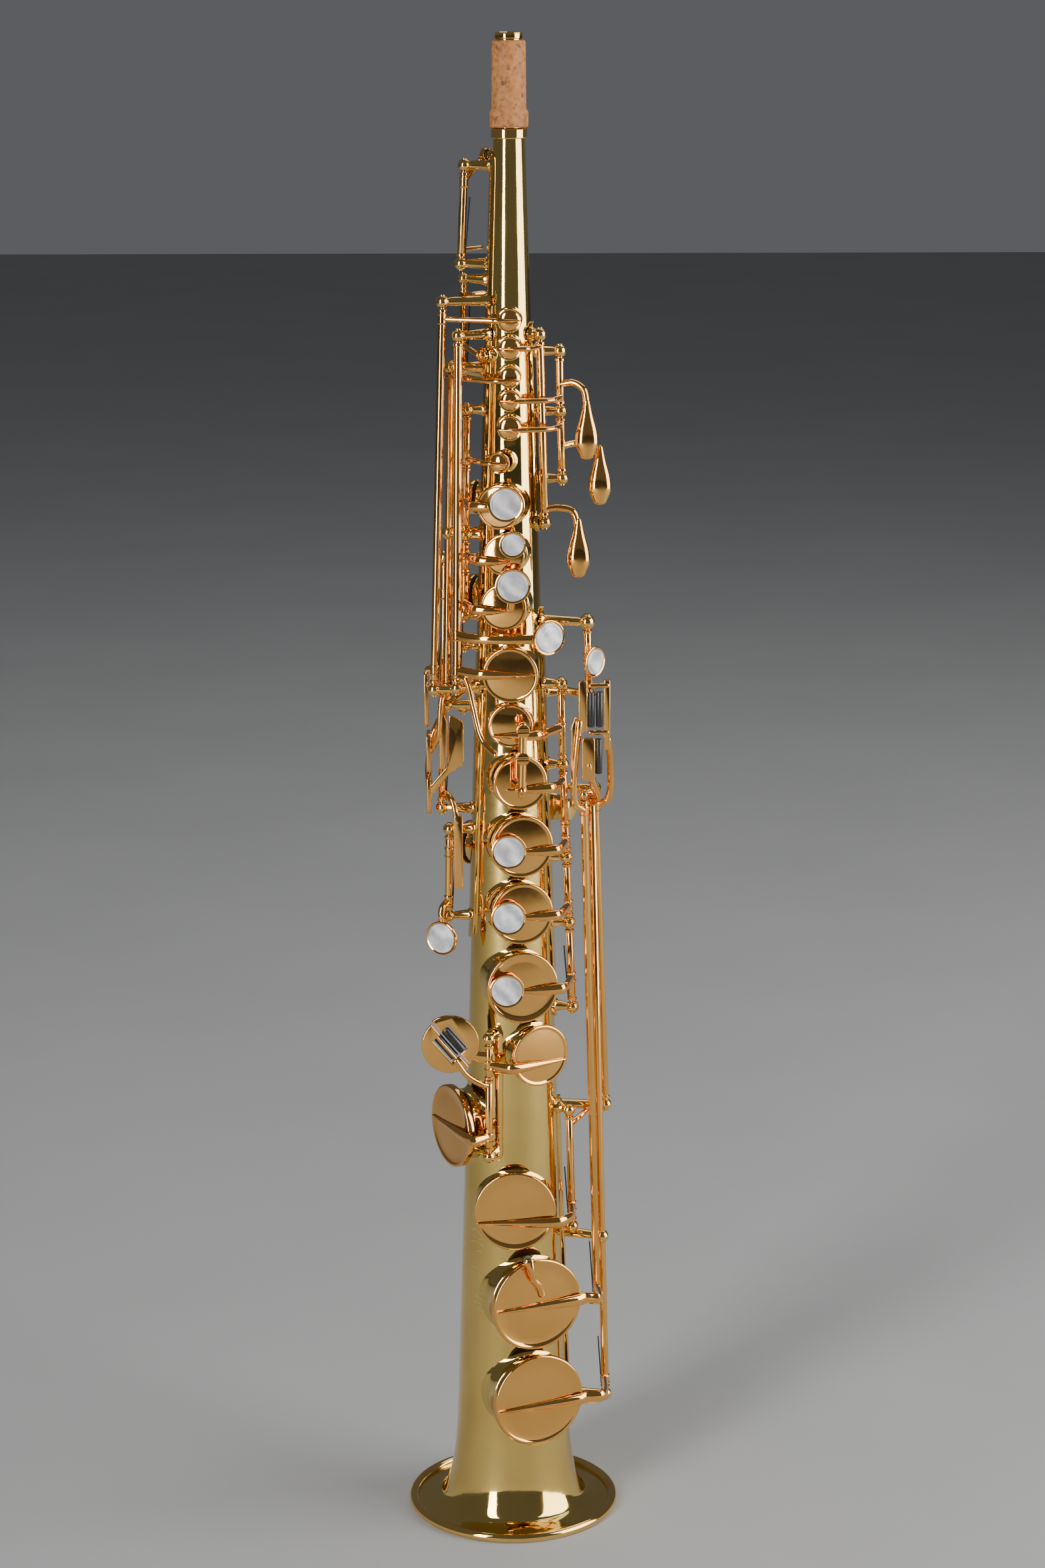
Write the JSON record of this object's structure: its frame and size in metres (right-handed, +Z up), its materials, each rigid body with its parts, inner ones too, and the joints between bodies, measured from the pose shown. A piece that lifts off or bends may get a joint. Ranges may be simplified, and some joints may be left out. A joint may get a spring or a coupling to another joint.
{
  "type": "soprano saxophone",
  "caption": "Straight soprano saxophone in gold lacquered brass with mother-of-pearl touches, working keys, flared bell with a rolled rim and a corked neck, standing on its bell.",
  "frame": {"origin": "centre of the bell rim's lowest plane, on the bore axis", "axes": "Z up along the bore from bell to neck, -Y towards the finger pearls, X to the viewer's right"},
  "size_m": [0.0922, 0.0922, 0.64],
  "materials": {
    "body": "clear lacquered brass, pale greenish gold, mirror polish",
    "key": "gold lacquered brass, warmer orange gold, mirror polish",
    "pearl": "mother-of-pearl, polished, white to grey figure",
    "roller": "black resin, satin gloss",
    "cork": "greased natural cork, matt with dark pores",
    "pad": "brown leather pads, matt"
  },
  "bodies": {
    "saxophone_body": {"body_tube": "body", "bell": "body", "bell_rim": "body", "neck_sleeve": "body", "neck_cork": "cork", "thumb_hook": "body", "thumb_rest": "body", "strap_ring": "body", "left_rib": "body", "octave_lever_rib": "body", "back_rib": "body", "palm_rib": "body", "right_rib": "body", "low_rib": "body", "pinky_rib": "body"},
    "high_f_sharp_key": {"high_f_sharp_key": "key"},
    "high_e_key": {"high_e_key": "key"},
    "side_c_key": {"side_c_key": "key"},
    "side_b_flat_key": {"side_b_flat_key": "key"},
    "upper_octave_key": {"upper_octave_key": "key"},
    "lower_octave_key": {"lower_octave_key": "key"},
    "palm_f_key": {"palm_f_key": "key"},
    "palm_e_flat_key": {"palm_e_flat_key": "key"},
    "palm_d_key": {"palm_d_key": "key"},
    "vent_key": {"vent_key": "key"},
    "b_key": {"b_key": "key", "b_pearl": "pearl"},
    "bis_key": {"bis_key": "key", "bis_pearl": "pearl"},
    "a_key": {"a_key": "key", "a_pearl": "pearl"},
    "g_key": {"g_key": "key", "g_pearl": "pearl"},
    "g_sharp_cup_key": {"g_sharp_cup_key": "key"},
    "f_sharp_key": {"f_sharp_key": "key"},
    "f_key": {"f_key": "key", "f_pearl": "pearl"},
    "e_key": {"e_key": "key", "e_pearl": "pearl"},
    "d_key": {"d_key": "key", "d_pearl": "pearl"},
    "trill_f_sharp_key": {"trill_f_sharp_key": "key", "trill_pearl": "pearl"},
    "e_flat_key": {"e_flat_key": "key"},
    "low_c_key": {"low_c_key": "key", "low_c_pad": "pad"},
    "low_c_sharp_key": {"low_c_sharp_key": "key"},
    "low_b_key": {"low_b_key": "key", "low_b_pad": "pad"},
    "low_b_flat_key": {"low_b_flat_key": "key", "low_b_flat_pad": "pad"},
    "octave_lever": {"octave_lever": "key"},
    "g_sharp_lever": {"g_sharp_lever": "key", "g_sharp_pearl": "pearl"},
    "low_c_sharp_lever": {"low_c_sharp_lever": "key"},
    "e_flat_roller": {"e_flat_roller": "roller"},
    "low_c_roller": {"low_c_roller": "roller"},
    "upper_left_roller": {"upper_left_roller": "roller"},
    "upper_right_roller": {"upper_right_roller": "roller"},
    "lower_roller": {"lower_roller": "roller"}
  },
  "joints": [
    {"name": "high_f_sharp_key_hinge", "type": "hinge", "parent": "saxophone_body", "child": "high_f_sharp_key", "pos_m": [-0.0276, -0.008, 0.5257], "axis": [-0.0291, 0, -0.9996], "range_deg": [0, 4.9], "stiffness_Nm_per_rad": 0.01, "springref_deg": -34.38},
    {"name": "high_e_key_hinge", "type": "hinge", "parent": "saxophone_body", "child": "high_e_key", "pos_m": [-0.02435, -0.003, 0.5027], "axis": [-0.019, 0, -0.9998], "range_deg": [0, 4.2], "stiffness_Nm_per_rad": 0.01, "springref_deg": -34.38},
    {"name": "side_c_key_hinge", "type": "hinge", "parent": "saxophone_body", "child": "side_c_key", "pos_m": [-0.00886, 0.01945, 0.4504], "axis": [-0.0184, 0.0231, -0.9996], "range_deg": [0, 6.6], "stiffness_Nm_per_rad": 0.01, "springref_deg": -34.38},
    {"name": "side_b_flat_key_hinge", "type": "hinge", "parent": "saxophone_body", "child": "side_b_flat_key", "pos_m": [-0.02776, 0.00257, 0.4097], "axis": [0.0168, 0.028, 0.9995], "range_deg": [0, 8], "stiffness_Nm_per_rad": 0.01, "springref_deg": -34.38},
    {"name": "upper_octave_key_hinge", "type": "hinge", "parent": "saxophone_body", "child": "upper_octave_key", "pos_m": [-0.01804, 0.003, 0.5908], "axis": [0.0427, 0, 0.9991], "range_deg": [0, 8], "stiffness_Nm_per_rad": 0.01, "springref_deg": -34.38},
    {"name": "lower_octave_key_hinge", "type": "hinge", "parent": "saxophone_body", "child": "lower_octave_key", "pos_m": [-0.01914, 0.0045, 0.511], "axis": [-0.0079, 0, -1], "range_deg": [0, 5.1], "stiffness_Nm_per_rad": 0.01, "springref_deg": -34.38},
    {"name": "palm_f_key_hinge", "type": "hinge", "parent": "saxophone_body", "child": "palm_f_key", "pos_m": [0.01253, -0.00621, 0.5143], "axis": [-0.0257, 0.0026, 0.9997], "range_deg": [0, 9.1], "stiffness_Nm_per_rad": 0.01, "springref_deg": -34.38},
    {"name": "palm_e_flat_key_hinge", "type": "hinge", "parent": "saxophone_body", "child": "palm_e_flat_key", "pos_m": [0.02083, 0, 0.493], "axis": [-0.0121, 0, 0.9999], "range_deg": [0, 6], "stiffness_Nm_per_rad": 0.01, "springref_deg": -34.38},
    {"name": "palm_d_key_hinge", "type": "hinge", "parent": "saxophone_body", "child": "palm_d_key", "pos_m": [0.02103, 0, 0.4818], "axis": [-0.025, 0, 0.9997], "range_deg": [0, 5.9], "stiffness_Nm_per_rad": 0.01, "springref_deg": -34.38},
    {"name": "vent_key_hinge", "type": "hinge", "parent": "saxophone_body", "child": "vent_key", "pos_m": [-0.01805, -0.004, 0.4678], "axis": [0.0172, 0, 0.9999], "range_deg": [0, 9.3], "stiffness_Nm_per_rad": 0.01, "springref_deg": -34.38},
    {"name": "b_key_hinge", "type": "hinge", "parent": "saxophone_body", "child": "b_key", "pos_m": [-0.01836, -0.004, 0.4498], "axis": [0.0172, 0, 0.9999], "range_deg": [0, 9.1], "stiffness_Nm_per_rad": 0.01, "springref_deg": -34.38},
    {"name": "bis_key_hinge", "type": "hinge", "parent": "saxophone_body", "child": "bis_key", "pos_m": [-0.0187, -0.004, 0.43], "axis": [0.0172, 0, 0.9999], "range_deg": [0, 8.6], "stiffness_Nm_per_rad": 0.01, "springref_deg": -34.38},
    {"name": "a_key_hinge", "type": "hinge", "parent": "saxophone_body", "child": "a_key", "pos_m": [-0.01907, -0.004, 0.4083], "axis": [0.0172, 0, 0.9999], "range_deg": [0, 8.4], "stiffness_Nm_per_rad": 0.01, "springref_deg": -34.38},
    {"name": "g_key_hinge", "type": "hinge", "parent": "saxophone_body", "child": "g_key", "pos_m": [-0.02243, -0.01381, 0.3799], "axis": [0.0103, 0.0273, 0.9996], "range_deg": [0, 6.9], "stiffness_Nm_per_rad": 0.01, "springref_deg": -34.38},
    {"name": "g_sharp_cup_key_hinge", "type": "hinge", "parent": "saxophone_body", "child": "g_sharp_cup_key", "pos_m": [0.0215, -0.005, 0.358], "axis": [-0.0202, 0, 0.9998], "range_deg": [0, 6.3], "stiffness_Nm_per_rad": 0.01, "springref_deg": -34.38},
    {"name": "f_sharp_key_hinge", "type": "hinge", "parent": "saxophone_body", "child": "f_sharp_key", "pos_m": [0.02205, -0.00504, 0.3342], "axis": [0.0394, -0.0094, -0.9992], "range_deg": [0, 7.4], "stiffness_Nm_per_rad": 0.01, "springref_deg": -34.38},
    {"name": "f_key_hinge", "type": "hinge", "parent": "saxophone_body", "child": "f_key", "pos_m": [0.02313, -0.00529, 0.3069], "axis": [0.0394, -0.0094, -0.9992], "range_deg": [0, 7.1], "stiffness_Nm_per_rad": 0.01, "springref_deg": -34.38},
    {"name": "e_key_hinge", "type": "hinge", "parent": "saxophone_body", "child": "e_key", "pos_m": [0.02426, -0.00556, 0.278], "axis": [0.0394, -0.0094, -0.9992], "range_deg": [0, 6.8], "stiffness_Nm_per_rad": 0.01, "springref_deg": -34.38},
    {"name": "d_key_hinge", "type": "hinge", "parent": "saxophone_body", "child": "d_key", "pos_m": [0.02553, -0.00586, 0.2458], "axis": [0.0394, -0.0094, -0.9992], "range_deg": [0, 6.4], "stiffness_Nm_per_rad": 0.01, "springref_deg": -34.38},
    {"name": "trill_f_sharp_key_hinge", "type": "hinge", "parent": "saxophone_body", "child": "trill_f_sharp_key", "pos_m": [-0.02629, -0.006, 0.3], "axis": [0.0184, 0, 0.9998], "range_deg": [0, 6.6], "stiffness_Nm_per_rad": 0.01, "springref_deg": -34.38},
    {"name": "e_flat_key_hinge", "type": "hinge", "parent": "saxophone_body", "child": "e_flat_key", "pos_m": [-0.00972, -0.02381, 0.2143], "axis": [-0.0019, -0.0498, -0.9988], "range_deg": [0, 7.3], "stiffness_Nm_per_rad": 0.01, "springref_deg": -34.38},
    {"name": "low_c_key_hinge", "type": "hinge", "parent": "saxophone_body", "child": "low_c_key", "pos_m": [-0.00978, -0.02557, 0.1791], "axis": [-0.0019, -0.0498, -0.9988], "range_deg": [0, 7.7], "stiffness_Nm_per_rad": 0.01, "springref_deg": -34.38},
    {"name": "low_c_sharp_key_hinge", "type": "hinge", "parent": "saxophone_body", "child": "low_c_sharp_key", "pos_m": [0.02572, -0.006, 0.1458], "axis": [-0.0263, 0, 0.9997], "range_deg": [0, 6.3], "stiffness_Nm_per_rad": 0.01, "springref_deg": -34.38},
    {"name": "low_b_key_hinge", "type": "hinge", "parent": "saxophone_body", "child": "low_b_key", "pos_m": [0.03672, -0.0061, 0.1041], "axis": [0.0271, 0.0153, -0.9995], "range_deg": [0, 4.8], "stiffness_Nm_per_rad": 0.01, "springref_deg": -34.38},
    {"name": "low_b_flat_key_hinge", "type": "hinge", "parent": "saxophone_body", "child": "low_b_flat_key", "pos_m": [0.04067, -0.00164, 0.0603], "axis": [0.0247, 0.0145, -0.9996], "range_deg": [0, 4.2], "stiffness_Nm_per_rad": 0.01, "springref_deg": -34.38},
    {"name": "octave_lever_hinge", "type": "hinge", "parent": "saxophone_body", "child": "octave_lever", "pos_m": [0.00525, 0.0205, 0.5055], "axis": [-0.007, -0.0282, 0.9996], "range_deg": [0, 5], "stiffness_Nm_per_rad": 0.01, "springref_deg": -34.38},
    {"name": "g_sharp_lever_hinge", "type": "hinge", "parent": "saxophone_body", "child": "g_sharp_lever", "pos_m": [0.0325, -0.007, 0.38385], "axis": [-0.0315, -0.0629, 0.9975], "range_deg": [0, 6], "stiffness_Nm_per_rad": 0.01, "springref_deg": -34.38},
    {"name": "low_c_sharp_lever_hinge", "type": "hinge", "parent": "saxophone_body", "child": "low_c_sharp_lever", "pos_m": [0.0381, 0.00225, 0.25505], "axis": [-0.0352, -0.0106, 0.9993], "range_deg": [0, 5], "stiffness_Nm_per_rad": 0.01, "springref_deg": -34.38},
    {"name": "e_flat_roller_spin", "type": "hinge", "parent": "e_flat_key", "child": "e_flat_roller", "pos_m": [-0.02448, -0.0255, 0.22275], "axis": [0.6428, 0, -0.766], "continuous": true},
    {"name": "low_c_roller_spin", "type": "hinge", "parent": "low_c_key", "child": "low_c_roller", "pos_m": [-0.02792, -0.0255, 0.21985], "axis": [0.6428, 0, -0.766], "continuous": true},
    {"name": "upper_left_roller_spin", "type": "hinge", "parent": "low_b_key", "child": "upper_left_roller", "pos_m": [0.0336, -0.0136, 0.3635], "axis": [0, 0, 1], "continuous": true},
    {"name": "upper_right_roller_spin", "type": "hinge", "parent": "low_c_sharp_lever", "child": "upper_right_roller", "pos_m": [0.0371, -0.0132, 0.3635], "axis": [0, 0, 1], "continuous": true},
    {"name": "lower_roller_spin", "type": "hinge", "parent": "low_c_sharp_lever", "child": "lower_roller", "pos_m": [0.0368, -0.0136, 0.3435], "axis": [0, 0, 1], "continuous": true}
  ],
  "couplings": [
    {"joint": "upper_octave_key_hinge", "follows": "octave_lever_hinge", "ratio": 1.6},
    {"joint": "g_sharp_cup_key_hinge", "follows": "g_sharp_lever_hinge", "ratio": 1.05},
    {"joint": "low_c_sharp_key_hinge", "follows": "low_c_sharp_lever_hinge", "ratio": 1.26},
    {"joint": "f_sharp_key_hinge", "follows": "f_key_hinge", "ratio": 1},
    {"joint": "vent_key_hinge", "follows": "b_key_hinge", "ratio": 1}
  ]
}
